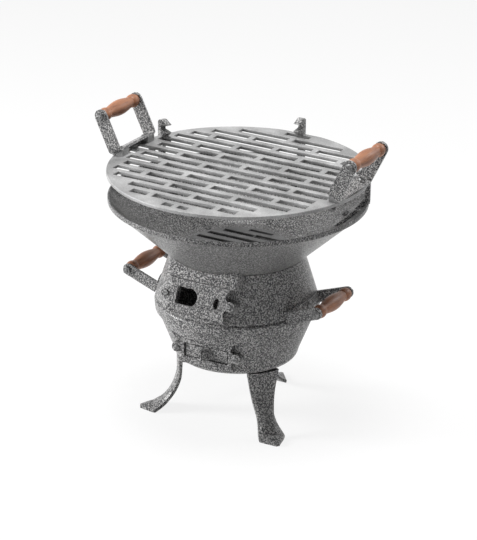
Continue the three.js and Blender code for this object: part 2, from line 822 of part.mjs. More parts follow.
// the post's side view: a stem above the rim with three noses that make two notches,
// and a foot that runs down the inner face of the bowl
function gratePost(angle) {
	const outer = postOuterRadius;
	const stem = outer - postStem;
	const tip = outer - postReach;
	const g = clearance;
	const rest = grateBottomZ - g;
	const hold = grateTopZ + g;
	const notchRadius = grateFlatRadius + g;
	const footZ = rimZ - postFootLength;
	const face = (z) => bowlInner(z) - g * 1.5;
	const t = levelWall(postFootThickness, bowlSlope);
	const outline = [
		[outer, rimZ + g],
		[outer, postTopZ - 4],
		[outer - 3, postTopZ - 1],
		[stem - 2, postTopZ],
		[tip, postTopZ - 6],
		[stem, hold + noseHeight + raisedNotchHeight],
		[stem, hold + noseHeight],
		[tip, hold + noseHeight - 2],
		[tip + 8, hold],
		[notchRadius, hold],
		[notchRadius, rest],
		[tip + 1, rest],
		[tip + 2, rest - 4],
		[stem, rest - noseHeight - 3],
		[stem, rimZ + 9],
		[face(rimZ - 8) - t, rimZ - 8 + g],
		[face(footZ) - t, footZ],
		[face(footZ), footZ],
		[face(rimZ - 4), rimZ - 4],
		[face(rimZ - 4), rimZ + g],
	];
	const blade = solid(slab(outline, -postWidth / 2, postWidth / 2).rotateX(Math.PI / 2));
	const bore = solid(postBoltAxis(rod(boltRadius + clearance, -20, 20, boltSides)));
	return solid(turned(geometryOf(blade.add(postFoot()).subtract(bore)), angle));
}

// a wide flat foot against the bowl, under the blade
function postFoot() {
	const z0 = rimZ - postFootLength;
	const z1 = rimZ - 8;
	const g = clearance * 1.5;
	const t = levelWall(postFootThickness, bowlSlope);
	const half = postWidth * 1.3;
	const sag = half * half / (2 * bowlInner(z0));
	const outline = [
		[bowlInner(z0) - g - sag - t, z0],
		[bowlInner(z0) - g - sag, z0],
		[bowlInner(z1) - g - sag, z1],
		[bowlInner(z1) - g - sag - t, z1],
	];
	return solid(slab(outline, -half, half).rotateX(Math.PI / 2));
}

// the bolt's axis through foot and bowl, square to the bowl's face
function postBoltAxis(geometry) {
	return geometry.rotateY(Math.PI / 2 + bowlLean).translate(bowlInner(postBoltZ), 0, postBoltZ);
}

function postBoltHole(angle) {
	return solid(turned(postBoltAxis(rod(boltRadius + clearance, -20, 20, boltSides)), angle));
}

function postBolt(angle) {
	const inside = postFootThickness + 1.6;
	const outside = bowlWall + clearance + 0.6;
	const shank = solid(rod(boltRadius, -inside - nutHeight - 0.8, outside + 0.5, boltSides));
	const nut = solid(rod(nutRadius, -inside - nutHeight, -inside, 6));
	const head = solid(geometryOf(slottedHead(boltHeadRadius, boltHeadHeight))
		.translate(0, 0, outside));
	return solid(turned(postBoltAxis(geometryOf(union(shank, nut, head))), angle));
}

// ---------------------------------------------------------------- legs

const legTopZ = baseBottomZ - clearance;
const soleZ = legEdge / 2 - 0.2;    // the sole dips under the ground by this and is cut flat there

// a place on the leg's middle line: out runs from 0 at the stem to 1 at the toe's flanks, and
// up from 0 on the ground to 1 under the base
function legPoint(out, up) {
	const radius = legStemRadius + (legFlankRadius - legStemRadius) * out;
	return new THREE.Vector3(radius, 0, soleZ + (legTopZ - soleZ) * up);
}

// the leg narrows evenly from the base to its waist, widens to its flanks and ends in a V
function legHalfWidth(at, waist) {
	if (at.z > waist.z) {
		const share = (at.z - waist.z) / (legTopZ - waist.z);
		return (legWaistWidth + (legTopWidth - legWaistWidth) * share) / 2;
	}
	if (at.x < legFlankRadius) {
		const share = THREE.MathUtils.smoothstep(at.x, waist.x, legFlankRadius);
		return (legWaistWidth + (legFlankWidth - legWaistWidth) * share) / 2;
	}
	const share = Math.min(1, (at.x - legFlankRadius) / (toeRadius - legFlankRadius));
	return (legFlankWidth + (legTipWidth - legFlankWidth) * share) / 2;
}

// stations down the leg: place in the radial plane, direction of travel, half width and crown
function legStations() {
	const waist = legPoint(0.3, 0.29);
	const path = new THREE.CatmullRomCurve3([
		legPoint(0, 1.05),
		legPoint(0, 0.67),
		legPoint(0.085, 0.5),
		waist,
		legPoint(0.62, 0.12),
		legPoint(0.9, 0.03),
		legPoint(1, 0.003),
		new THREE.Vector3((legFlankRadius + toeRadius) / 2, 0, soleZ),
		new THREE.Vector3(toeRadius, 0, soleZ),
	], false, 'centripetal');
	const steps = 3 * (path.points.length - 1);
	const stations = [];
	for (let i = 0; i <= steps; i++) {
		const at = path.getPoint(i / steps);
		const half = legHalfWidth(at, waist);
		stations.push({
			at,
			half,
			along: path.getTangent(i / steps),
			crown: legCrown * Math.min(1, 2 * half / legWaistWidth),
		});
	}
	return stations;
}

// a crowned strip: flat inside, rounded outside
function legStem() {
	const section = [[-1, -1], [1, -1], [1, 0], [0.75, 0.55], [0.4, 0.9], [-0.4, 0.9], [-0.75, 0.55], [-1, 0]];
	const positions = [];
	const index = [];
	const count = section.length;
	const stations = legStations();
	for (const { at, along, half, crown } of stations) {
		const outward = new THREE.Vector3(-along.z, 0, along.x);
		for (const [s, h] of section) {
			const lift = h < 0 ? -legEdge / 2 : legEdge / 2 + crown * h;
			positions.push(at.x + outward.x * lift, s * half, at.z + outward.z * lift);
		}
	}
	for (let i = 0; i + 1 < stations.length; i++) {
		for (let j = 0; j < count; j++) {
			const a = i * count + j;
			const b = i * count + (j + 1) % count;
			index.push(a, b, a + count, b, b + count, a + count);
		}
	}
	for (let j = 1; j + 1 < count; j++) {
		const end = (stations.length - 1) * count;
		index.push(0, j + 1, j);
		index.push(end, end + j, end + j + 1);
	}
	const g = new THREE.BufferGeometry();
	g.setAttribute('position', new THREE.Float32BufferAttribute(positions, 3));
	g.setIndex(index);
	return solid(g);
}

// a stem and the flat tab under the base that its bolt goes through
function leg(angle, twist) {
	const inner = legBoltRadius - legTabInset;
	const wide = legTopWidth / 2;
	const narrow = wide * legTabTaper;
	const outline = [[inner, -narrow], [legStemRadius, -wide], [legStemRadius, wide], [inner, narrow]];
	const tab = solid(slab(outline, legTopZ - legTabThickness, legTopZ));
	const ground = solid(box(0, 300, -80, 80, -20, 0));
	const base = solid(box(-60, 300, -80, 80, legTopZ, legTopZ + 60));
	const bore = solid(rod(boltRadius + clearance, legTopZ - 30, legTopZ + 30, boltSides)
		.translate(legBoltRadius, 0, 0));
	const body = geometryOf(legStem().add(tab).subtract(ground).subtract(base).subtract(bore));
	body.translate(-legBoltRadius, 0, 0).rotateZ(rad(twist)).translate(legBoltRadius, 0, 0);
	return solid(turned(body, angle));
}

// ---------------------------------------------------------------- fasteners

function legBolt(angle) {
	const low = baseBottomZ - clearance - legTabThickness - 2;
	const high = baseBottomZ + wall + clearance;
	const shank = solid(rod(boltRadius, low - 1, high + 1, boltSides));
	const nut = solid(rod(nutRadius, low - nutHeight, low, 6));
	const head = solid(geometryOf(slottedHead(boltHeadRadius, boltHeadHeight)).translate(0, 0, high));
	return solid(turned(geometryOf(union(shank, nut, head)).translate(legBoltRadius, 0, 0), angle));
}

function bowlBolt(angle) {
	const low = neckZ - wall - clearance;
	const high = bowlFloorTopZ;
	const shank = solid(rod(boltRadius, low - nutHeight - 1, high + 1, boltSides));
	const nut = solid(rod(nutRadius, low - nutHeight, low, 6));
	const head = solid(geometryOf(slottedHead(boltHeadRadius - 1, boltHeadHeight))
		.translate(0, 0, high + clearance));
	return solid(turned(geometryOf(union(shank, nut, head)).translate(bowlBoltRadius, 0, 0), angle));
}

function frameScrew(frame, length, side) {
	const [ex, ey] = earCentre(frame);
	const shank = solid(rod(screwRadius, -length, 0.6, boltSides));
	const head = solid(geometryOf(slottedHead(screwHeadRadius, screwHeadHeight))
		.translate(0, 0, clearance));
	return moved(solid(geometryOf(shank.add(head)).translate(side * ex, ey, 0)), frame);
}

function grateHandleBolt(side, y) {
	const low = -footHeight(lugInnerX) - grateThickness - 4;
	const shank = solid(rod(boltRadius, low - nutHeight, strip + 0.6, boltSides));
	const head = solid(geometryOf(slottedHead(boltHeadRadius, lowHeadHeight))
		.translate(0, 0, strip + clearance));
	const nut = solid(rod(nutRadius, low - nutHeight, low, 6));
	return solid(onGrateHandle(geometryOf(union(shank, head, nut)).translate(0, side * y, 0), side));
}

// ---------------------------------------------------------------- assembly

addPart('ash_base', ashBase(), castPaint);
addPart('fire_body', fireBody(), castPaint);
addPart('coal_bowl', coalBowl(), castPaint);
addPart('fire_grate', fireGrate(), rawCast);
addPart('cooking_grate', cookingGrate(), rawCast);

addPart('fire_door_frame', fireDoorFrame(), castPaint);
addPart('fire_door_shutter', fireDoorShutter(), castPaint);
addPart('draught_frame', moved(framePlate(draughtFrame, draughtWindow), draughtFrame), castPaint);
addPart('draught_door', draughtDoorPlate(), castPaint);

for (const [name, side] of [['left', -1], ['right', 1]]) {
	addPart(`fire_frame_screw_${name}`, frameScrew(fireFrame, fireSeat + 12, side), steel);
	addPart(`draught_frame_screw_${name}`, frameScrew(draughtFrame, draughtSeat + wall + 3, side), steel);

	const gripZ = grateHandle.rise - grateHandle.width / 2;
	addPart(`grate_handle_${name}`, grateHandleBracket(side), castPaint);
	addPart(`grate_grip_${name}`, onGrateHandle(turnedGrip().translate(0, 0, gripZ), side), wood);
	addPart(`grate_grip_bolt_${name}`, onGrateHandle(gripBolt().translate(0, 0, gripZ), side), steel);
	for (const [end, y] of [['front', -grateHandle.footY], ['rear', grateHandle.footY]]) {
		addPart(`grate_handle_bolt_${name}_${end}`, grateHandleBolt(side, y), steel);
	}

	const outZ = bodyHandle.reach - bodyHandle.width / 2;
	addPart(`body_handle_${name}`, bodyHandleBracket(side), castPaint);
	addPart(`body_grip_${name}`, onBodyHandle(turnedGrip().translate(0, 0, outZ), side), wood);
	addPart(`body_grip_bolt_${name}`, onBodyHandle(gripBolt().translate(0, 0, outZ), side), steel);
	addPart(`body_handle_bolt_${name}`, bodyHandleBolt(side), steel);
}

for (const [i, place] of ['right', 'rear', 'left'].entries()) {
	addPart(`grate_post_${place}`, gratePost(postAngles[i]), castPaint);
	addPart(`post_bolt_${place}`, postBolt(postAngles[i]), steel);
}

for (const [i, place] of ['rear', 'left', 'right'].entries()) {
	addPart(`leg_${place}`, leg(legAngles[i], legTwists[i]), castPaint);
	addPart(`leg_bolt_${place}`, legBolt(legAngles[i]), steel);
}

for (const [i, place] of ['right', 'left', 'front'].entries()) {
	addPart(`bowl_bolt_${place}`, bowlBolt(bowlBoltAngles[i]), steel);
}

export default brazier;
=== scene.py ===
# %% [markdown]
# # A cast-iron charcoal brazier, dressed
#
# The brazier is a stack of iron castings in a hammered grey paint: an ash base on three
# legs, a fire body with a sliding shutter, a wide coal bowl, and a bare cooking grate that
# hangs in three hooked posts. The measured model already holds every piece in its place.
# Here each piece gets the surface and the finish that the eye expects: rounded castings,
# turned wooden grips, slotted screw heads, and paint that beads as it dries.

# %% Load the measured model
import math

import bmesh
import bpy
from mathutils import Matrix, Vector


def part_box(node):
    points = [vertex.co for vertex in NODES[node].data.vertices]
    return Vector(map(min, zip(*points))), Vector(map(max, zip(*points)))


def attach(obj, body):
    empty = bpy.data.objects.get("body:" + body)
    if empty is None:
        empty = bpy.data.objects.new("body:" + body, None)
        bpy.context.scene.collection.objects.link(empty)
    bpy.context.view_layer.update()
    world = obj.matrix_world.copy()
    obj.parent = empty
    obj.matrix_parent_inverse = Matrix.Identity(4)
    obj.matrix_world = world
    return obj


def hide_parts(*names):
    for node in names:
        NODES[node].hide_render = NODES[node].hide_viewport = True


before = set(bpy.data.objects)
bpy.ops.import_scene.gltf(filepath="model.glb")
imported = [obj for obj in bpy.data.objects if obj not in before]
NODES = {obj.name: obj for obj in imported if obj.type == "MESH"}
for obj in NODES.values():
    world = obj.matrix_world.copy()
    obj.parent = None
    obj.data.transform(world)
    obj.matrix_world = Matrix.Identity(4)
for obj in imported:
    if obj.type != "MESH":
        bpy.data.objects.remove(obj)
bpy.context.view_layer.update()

MM = 0.001
print("pieces in the measured model:", len(NODES))

# %% [markdown]
# ## The camera
#
# The photograph was taken from under four metres with a long lens, looking down by about
# twenty degrees. The place where the lens axis met the picture is above its middle, so a
# camera could be shifted. Turning it down by the small angle between the two gives the same
# picture to half a pixel, and leaves no shift behind that would push the brazier off
# centre in other views.

# %% Stand the camera where the photograph was taken
PHOTO_WIDTH = 477
PHOTO_MIDDLE = Vector((238.5, 270.0))
AXIS_PIXEL = Vector((238.3, 199.4))     # where the lens axis met the picture
FOCAL_PIXELS = 2617.9
AXIS_POINT = Vector((0.0, 0.0, 0.326))  # what the lens axis points at, just under the rim
CAMERA_DISTANCE = 3.704
CAMERA_AZIMUTH = math.radians(30.0)
CAMERA_ELEVATION = math.radians(20.56)
CAMERA_ROLL = math.radians(0.8)
SENSOR_WIDTH = 36.0


def photograph_camera():
    """A camera object at the photograph's viewpoint."""
    level = Vector((math.sin(CAMERA_AZIMUTH), -math.cos(CAMERA_AZIMUTH), 0))
    back = level * math.cos(CAMERA_ELEVATION) + Vector((0, 0, math.sin(CAMERA_ELEVATION)))
    right = Vector((0, 0, 1)).cross(back).normalized()
    up = back.cross(right)
    tilted_right = right * math.cos(CAMERA_ROLL) + up * math.sin(CAMERA_ROLL)
    tilted_up = up * math.cos(CAMERA_ROLL) - right * math.sin(CAMERA_ROLL)
    off = PHOTO_MIDDLE - AXIS_PIXEL
    towards = -back * FOCAL_PIXELS + tilted_right * off.x - tilted_up * off.y
    new_back = -towards.normalized()
    new_right = (tilted_right - new_back * tilted_right.dot(new_back)).normalized()
    new_up = new_back.cross(new_right)
    turn = Matrix((new_right, new_up, new_back)).transposed().to_4x4()
    data = bpy.data.cameras.new("photograph")
    data.sensor_fit = "HORIZONTAL"
    data.sensor_width = SENSOR_WIDTH
    data.lens = FOCAL_PIXELS * SENSOR_WIDTH / PHOTO_WIDTH
    camera = bpy.data.objects.new("photograph", data)
    camera.matrix_world = Matrix.Translation(AXIS_POINT + back * CAMERA_DISTANCE) @ turn
    return camera


camera = photograph_camera()
bpy.context.scene.collection.objects.link(camera)
bpy.context.scene.camera = camera
bpy.context.scene.view_settings.view_transform = "Standard"
print("camera stands at", [round(c, 3) for c in camera.matrix_world.translation])

# %% [markdown]
# ## Writing a finish as a sum
#
# A finish is a small circuit of nodes. Wired by hand it is long and hard to read, so three
# classes stand between: `Wire` holds one output, and `+`, `-` and `*` on it add the maths
# node that does that sum. `Tree` makes every other node from its type, its settings and
# what goes into its sockets. `Finish` is a tree that ends in one surface shader.

# %% Wire, Tree and Finish
def pick_socket(sockets, key):
    """A socket by its number, its identifier or its name."""
    if isinstance(key, int):
        return sockets[key]
    return next(s for s in sockets if key in (s.identifier, s.name))


class Wire:
    """One output of a node tree, which sums like a number."""

    def __init__(self, tree, socket):
        self.tree = tree
        self.socket = socket

    def maths(self, operation, *values):
        return self.tree.node("ShaderNodeMath", {"operation": operation}, dict(enumerate(values)))

    def __add__(self, other):
        return self.maths("ADD", self, other)

    def __sub__(self, other):
        return self.maths("SUBTRACT", self, other)

    def __rsub__(self, other):
        return self.maths("SUBTRACT", other, self)

    def __mul__(self, other):
        return self.maths("MULTIPLY", self, other)

    __radd__ = __add__
    __rmul__ = __mul__


class Tree:
    """A node tree whose nodes are all made in one way."""

    def __init__(self, owner):
        owner.use_nodes = True
        self.owner = owner
        self.nodes = owner.node_tree.nodes
        self.links = owner.node_tree.links

    def node(self, kind, settings=None, sockets=None, output=0):
        """Makes a node, sets it up, feeds its sockets and returns one output as a Wire."""
        made = self.nodes.new(kind)
        for name, value in (settings or {}).items():
            if name == "stops":
                self.set_stops(made.color_ramp, value)
            else:
                setattr(made, name, value)
        for key, value in (sockets or {}).items():
            self.feed(pick_socket(made.inputs, key), value)
        return Wire(self, pick_socket(made.outputs, output) if made.outputs else None)

    def feed(self, socket, value):
        if isinstance(value, Wire):
            self.links.new(value.socket, socket)
        else:
            socket.default_value = value

    @staticmethod
    def set_stops(ramp, stops):
        while len(ramp.elements) < len(stops):
            ramp.elements.new(0.5)
        for element, (position, colour) in zip(ramp.elements, stops):
            element.position = position
            element.color = (*colour, 1.0)


class Finish(Tree):
    """A material that ends in one surface shader, with the patterns that finishes share."""

    def __init__(self, name, **constants):
        super().__init__(bpy.data.materials.new(name))
        self.material = self.owner
        self.shader = self.nodes["Principled BSDF"]
        for socket, value in constants.items():
            self.give(socket.replace("_", " "), value)

    def give(self, socket, value):
        """Feeds one socket of the surface shader."""
        self.feed(pick_socket(self.shader.inputs, socket), value)

    def place(self):
        """The point on the object, in metres."""
        return self.node("ShaderNodeTexCoord", output="Object")

    def stretched(self, place, scale):
        """The same point with each axis scaled, which draws a pattern out."""
        return self.node("ShaderNodeVectorMath", {"operation": "MULTIPLY"}, {0: place, 1: scale})

    def noise(self, place, scale, detail=2.0, roughness=0.5):
        return self.node("ShaderNodeTexNoise", sockets={
            "Vector": place, "Scale": scale, "Detail": detail, "Roughness": roughness})

    def cells(self, place, scale):
        return self.node("ShaderNodeTexVoronoi", sockets={
            "Vector": place, "Scale": scale}, output="Distance")

    def ramp(self, factor, stops):
        return self.node("ShaderNodeValToRGB", {"stops": stops}, {"Fac": factor})

    def bump(self, height, depth, strength=1.0):
        """Raises the surface by height times depth, in metres."""
        self.give("Normal", self.node("ShaderNodeBump", sockets={
            "Strength": strength, "Distance": depth, "Height": height}))


def grey(value):
    return (value, value, value)


# %% [markdown]
# ## Hammered paint
#
# All castings but the two grates wear a silver-grey enamel that draws itself into beads a
# few millimetres wide as it dries, with dark seams between them. A noise at the size of
# the beads gives the light and dark marks, which wind about like worms. Cells of a Voronoi
# pattern give the domes: the distance from a cell's middle darkens its seam and lowers it.
# Finer noise breaks the regularity, and a very wide one clouds it. The coal bowl has
# thinner, darker paint, so its pattern is fainter.

# %% The hammered paint
BEADS_PER_METRE = 500.0
PAINT_DARK = (0.050, 0.050, 0.054)
PAINT_MIDDLE = (0.20, 0.198, 0.195)
PAINT_LIGHT = (0.52, 0.515, 0.51)


def hammered_paint(name, contrast, tone=1.0):
    """Beaded enamel. Contrast goes from 0, plain, to 1; tone scales how light it is."""
    paint = Finish(name, Specular_IOR_Level=0.32)
    place = paint.place()
    bead = paint.cells(place, BEADS_PER_METRE)
    worm = paint.noise(place, BEADS_PER_METRE, detail=1.5)
    speck = paint.noise(place, BEADS_PER_METRE * 2.2, detail=2.0)
    cloud = paint.noise(place, 14.0)
    mixture = 1.9 * (worm - 0.5) + 0.5 * (0.42 - bead) + 0.6 * (speck - 0.5) + 0.1 * (cloud - 0.5)
    level = 0.5 + contrast * mixture
    dark, middle, light = (tuple(c * tone for c in colour)
                           for colour in (PAINT_DARK, PAINT_MIDDLE, PAINT_LIGHT))
    paint.give("Base Color", paint.ramp(level, [(0.25, dark), (0.5, middle), (0.75, light)]))
    paint.give("Roughness", 0.26 + 0.14 * (1.0 - level))
    paint.bump(worm + 0.5 * (1.0 - bead), 0.35 * MM, 0.6 * contrast)
    return paint.material


PAINT = hammered_paint("hammered_paint", contrast=1.0, tone=0.95)
THIN_PAINT = hammered_paint("thin_hammered_paint", contrast=0.75, tone=0.78)

# %% [markdown]
# ## Bare cast iron
#
# The two grates are left bare: grey iron with the faint sandy skin of the mould and darker
# clouds where heat has stained it. Two scales of noise do both. The fire grate lies at the
# bottom of the bowl, under the fire, and its iron is made darker there as painted shade.

# %% The bare iron of the grates
def bare_iron(name, tone):
    """Sandy cast iron, lighter or darker by its tone."""
    iron = Finish(name, Metallic=0.3)
    place = iron.place()
    sand = iron.noise(place, 520.0, detail=4.0, roughness=0.65)
    stain = iron.noise(place, 26.0, detail=3.0)
    shade = 0.55 * sand + 0.6 * stain
    iron.give("Base Color", iron.ramp(shade, [
        (0.36, grey(0.20 * tone)), (0.58, grey(0.42 * tone)), (0.78, grey(0.66 * tone))]))
    iron.give("Roughness", 0.38 + 0.25 * stain)
    iron.bump(sand, 0.3 * MM, 0.5)
    return iron.material


IRON = bare_iron("bare_iron", 0.7)
# A darker copy of the same iron, at half the tone: painted shade for the fire grate deep in the bowl.
SHADED_IRON = bare_iron("sooted_iron", 0.35)

# %% [markdown]
# ## Turned wood
#
# The four grips are turned from a reddish hardwood, stained and varnished. The grain runs
# along the grip, so the pattern is drawn out along Y, and the varnish is a thin clear coat.

# %% The grips' wood
GRAIN_STRETCH = (1.0, 0.09, 1.0)


def turned_wood(name, light, dark):
    """Varnished wood with its grain along Y."""
    wood = Finish(name, Roughness=0.5, Coat_Weight=0.12, Coat_Roughness=0.3)
    grain = wood.stretched(wood.place(), GRAIN_STRETCH)
    bands = wood.noise(grain, 170.0, detail=3.0, roughness=0.6)
    pores = wood.noise(grain, 900.0, detail=2.0)
    patch = wood.noise(wood.place(), 38.0)
    level = 0.55 * bands + 0.2 * pores + 0.3 * patch
    middle = tuple((a + b) / 2 for a, b in zip(light, dark))
    wood.give("Base Color", wood.ramp(level, [(0.38, dark), (0.54, middle), (0.7, light)]))
    wood.bump(bands + 0.4 * pores, 0.2 * MM, 0.35)
    return wood.material


WOOD = turned_wood("turned_wood", (0.40, 0.170, 0.080), (0.165, 0.056, 0.022))

# %% [markdown]
# ## Bolts and screws
#
# The fasteners are plain, dull steel. A fine noise makes its colour and its polish uneven.

# %% The fasteners' steel
def bolt_steel():
    """Plain steel with an uneven polish."""
    steel = Finish("bolt_steel", Metallic=0.6)
    place = steel.place()
    rub = steel.noise(place, 300.0, detail=3.0)
    steel.give("Base Color", steel.ramp(rub, [(0.35, grey(0.08)), (0.65, grey(0.27))]))
    steel.give("Roughness", 0.28 + 0.25 * rub)
    steel.bump(rub, 0.1 * MM, 0.3)
    return steel.material


STEEL = bolt_steel()

# %% [markdown]
# ## From outlines to solid pieces
#
# Most of the brazier is either turned or cut from a flat outline. Two helpers cover both.
# `turned_piece` spins a closed profile round the upright axis, and `slab_piece` thickens
# an outline. Cast edges are never sharp, so `eased` first rounds the corners of a profile,
# and `soften` bevels the edges of a finished piece and shades it smoothly.

# %% Eased corners, turned pieces and slabs
EASE_STEPS = 4
TURN_STEPS = 192


def eased(corners, radius=1.2, keep=()):
    """Rounds each corner of a closed outline, apart from those listed in keep."""
    points = []
    count = len(corners)
    for i, corner in enumerate(corners):
        here = Vector(corner)
        before = Vector(corners[i - 1]) - here
        after = Vector(corners[(i + 1) % count]) - here
        reach = min(radius, before.length * 0.45, after.length * 0.45)
        if i in keep or corner[0] == 0 or reach < 0.05:
            points.append(here)
            continue
        start = here + before.normalized() * reach
        end = here + after.normalized() * reach
        for step in range(EASE_STEPS + 1):
            t = step / EASE_STEPS
            points.append(start * (1 - t) ** 2 + here * (2 * t * (1 - t)) + end * t ** 2)
    return [(p.x, p.y) for p in points]


def arc_points(centre, radius, start, end, steps):
    """Points on an arc, both ends included, angles in degrees."""
    points = []
    for i in range(steps + 1):
        angle = math.radians(start + (end - start) * i / steps)
        points.append((centre[0] + radius * math.cos(angle), centre[1] + radius * math.sin(angle)))
    return points


def new_piece(name, shape):
    """Turns an edited mesh, drawn in millimetres, into an object in metres."""
    bmesh.ops.recalc_face_normals(shape, faces=shape.faces)
    bmesh.ops.scale(shape, vec=(MM, MM, MM), verts=shape.verts)
    data = bpy.data.meshes.new(name)
    shape.to_mesh(data)
    shape.free()
    piece = bpy.data.objects.new(name, data)
    bpy.context.scene.collection.objects.link(piece)
    return piece


def turned_piece(name, profile, steps=TURN_STEPS):
    """Spins a closed profile of (radius, height) round the Z axis."""
    shape = bmesh.new()
    rings = []
    for radius, height in profile:
        around = 1 if radius == 0 else steps
        ring = []
        for i in range(around):
            angle = 2 * math.pi * i / steps
            ring.append(shape.verts.new((radius * math.cos(angle), radius * math.sin(angle), height)))
        rings.append(ring)
    for low, high in zip(rings, rings[1:] + rings[:1]):
        for i in range(steps):
            corners = [low[i % len(low)], low[(i + 1) % len(low)],
                       high[(i + 1) % len(high)], high[i % len(high)]]
            unique = list(dict.fromkeys(corners))
            if len(unique) > 2:
                shape.faces.new(unique)
    return new_piece(name, shape)


def slab_piece(name, outline, low, high, ease=0.0):
    """Thickens a closed outline in XY from one height to another."""
    shape = bmesh.new()
    bottom = [shape.verts.new((x, y, low)) for x, y in outline]
    top = [shape.verts.new((x, y, high)) for x, y in outline]
    count = len(outline)
    shape.faces.new(bottom[::-1])
    shape.faces.new(top)
    for i in range(count):
        j = (i + 1) % count
        shape.faces.new([bottom[i], bottom[j], top[j], top[i]])
    if ease:
        bmesh.ops.bevel(shape, geom=shape.edges[:], offset=ease, segments=3, profile=0.5,
                        affect="EDGES", clamp_overlap=True)
    return new_piece(name, shape)


def rectangle(x0, x1, y0, y1):
    return [(x0, y0), (x1, y0), (x1, y1), (x0, y1)]


# %% [markdown]
# Castings are joined and pierced with booleans, one tool at a time: a pocket for a frame,
# a window through the wall. The tool is thrown away afterwards. The piece then gets flat
# faces shaded flat and curved ones smooth, by the angle between them.

# %% Cutting, joining and softening
SMOOTH_ANGLE = math.radians(32)
BEVEL_ANGLE = math.radians(30)
FLAT_ANGLE = math.radians(1)
WELD_DISTANCE = 0.02


def settled_mesh(piece):
    """The piece's mesh with its modifiers worked in."""
    graph = bpy.context.evaluated_depsgraph_get()
    return bpy.data.meshes.new_from_object(piece.evaluated_get(graph))


def carve(piece, tool, operation="DIFFERENCE"):
    """Cuts a tool out of a piece, or joins it on, and throws the tool away."""
    change = piece.modifiers.new("carve", "BOOLEAN")
    change.operation = operation
    change.solver = "EXACT"
    change.object = tool
    worked = settled_mesh(piece)
    piece.modifiers.clear()
    piece.data = worked
    bpy.data.objects.remove(tool)


def placed(piece, matrix):
    """Moves a piece's own mesh, so that the object stays at the origin."""
    piece.data.transform(matrix)
    return piece


def shade(piece):
    piece.data.shade_smooth()
    piece.data.set_sharp_from_angle(angle=SMOOTH_ANGLE)


def soften(piece, width):
    """Bevels the sharp edges of a piece and evens out its shading."""
    weld = piece.modifiers.new("weld", "WELD")
    weld.merge_threshold = WELD_DISTANCE * MM
    flat = piece.modifiers.new("flat", "DECIMATE")
    flat.decimate_type = "DISSOLVE"
    flat.angle_limit = FLAT_ANGLE
    bevel = piece.modifiers.new("bevel", "BEVEL")
    bevel.width = width * MM
    bevel.segments = 2
    bevel.limit_method = "ANGLE"
    bevel.angle_limit = BEVEL_ANGLE
    bevel.use_clamp_overlap = True
    even = piece.modifiers.new("even", "WEIGHTED_NORMAL")
    even.keep_sharp = True


def finish_piece(piece, finish, body, slot, *nodes):
    """Gives a piece its finish, says what it rides on and which nodes it stands for."""
    piece.data.materials.clear()
    piece.data.materials.append(finish)
    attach(piece, body)
    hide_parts(*nodes)
    print(f"{piece.name}: {len(piece.data.polygons)} faces, stands for {', '.join(nodes)}")


# %% [markdown]
# ## The cones that everything follows
#
# Seen from the side, the castings are three cones stacked on each other: the base opens
# upwards, the body closes to a neck, and the bowl opens wide. The radius at any height is
# needed again and again, for walls, seats and handles, so each cone is one function.

# %% Measures of the castings, in millimetres
def reach_of(node):
    """A node's outer radius along X, its lowest and its highest height."""
    low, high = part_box(node)
    return high.x / MM, low.z / MM, high.z / MM


CLEARANCE = 0.3
WALL = 5.5
BASE_RADIUS, BASE_BOTTOM, BASE_TOP = reach_of("ash_base")
FOOT_RADIUS = 90.5
FOOT_CORNER = 12.0
FOOT_TOP = BASE_BOTTOM + FOOT_CORNER
SPIGOT_RADIUS = 113.0

SHOULDER_RADIUS, SKIRT_BOTTOM = reach_of("fire_body")[:2]
SKIRT_RADIUS = 117.0
SHOULDER_Z = 177.0
SHOULDER_CORNER = 5.0
NECK_RADIUS = 96.0
NECK_Z = 248.0

BOWL_RADIUS, BOWL_LOW, RIM_Z = reach_of("coal_bowl")
RIM_HEIGHT = 7.0
RIM_STEP = 3.5
BOWL_WALL = 4.0
BOWL_THROAT = 70.0


class Cone:
    """A cone's outer face: radius at a height, and how thick its wall is measured level."""

    def __init__(self, radius_low, low, radius_high, high):
        self.radius_low = radius_low
        self.low = low
        self.slope = (radius_high - radius_low) / (high - low)

    def at(self, height):
        return self.radius_low + self.slope * (height - self.low)

    def level(self, thickness):
        return thickness * math.hypot(1, self.slope)


base_cone = Cone(FOOT_RADIUS, FOOT_TOP, BASE_RADIUS, SKIRT_BOTTOM)
body_cone = Cone(SHOULDER_RADIUS, SHOULDER_Z, NECK_RADIUS, NECK_Z)
bowl_cone = Cone(NECK_RADIUS, NECK_Z, BOWL_RADIUS - RIM_STEP, RIM_Z - RIM_HEIGHT)
print("bowl wall measured level:", round(bowl_cone.level(BOWL_WALL), 2), "mm")

# %% [markdown]
# ## Frame plates and their places
#
# Two plates are screwed to the front. The upper one leans back with the body's cone. The
# lower one stands upright, turned a little about the upright axis. Each has its own axes: x
# along the plate, y up its face and z out of its front. A round ear at each end carries a
# screw. Behind each plate the casting is raised to a seat with the same ears.

# %% Where the frame plates sit
EAR_RADIUS = 8.0
EAR_REACH = 3.5
SCREW_RADIUS = 2.2


class FramePlate:
    """One frame plate: its size, its place on the front, and its window."""

    def __init__(self, width, height, thickness, bottom, front, lean, turn, window):
        self.width = width
        self.height = height
        self.thickness = thickness
        self.axes = (Matrix.Rotation(math.radians(turn), 4, "Z")
                     @ Matrix.Translation((0, -front * MM, bottom * MM))
                     @ Matrix.Rotation(math.radians(90 - lean), 4, "X"))
        self.ear = (width / 2 + EAR_REACH, height / 2)
        self.window_width, self.window_height, self.sill = window

    def window(self, grow=0.0):
        half = self.window_width / 2 + grow
        return rectangle(-half, half, self.sill - grow, self.sill + self.window_height + grow)


fire_plate = FramePlate(width=95, height=47, thickness=7, bottom=190, front=119.8,
                        lean=21.8, turn=0, window=(68, 24.5, 12))
draught_plate = FramePlate(width=86, height=43, thickness=6, bottom=104, front=96,
                           lean=0, turn=3.5, window=(70, 20.5, 10.5))
print("upper ears at", fire_plate.ear, "lower ears at", draught_plate.ear)

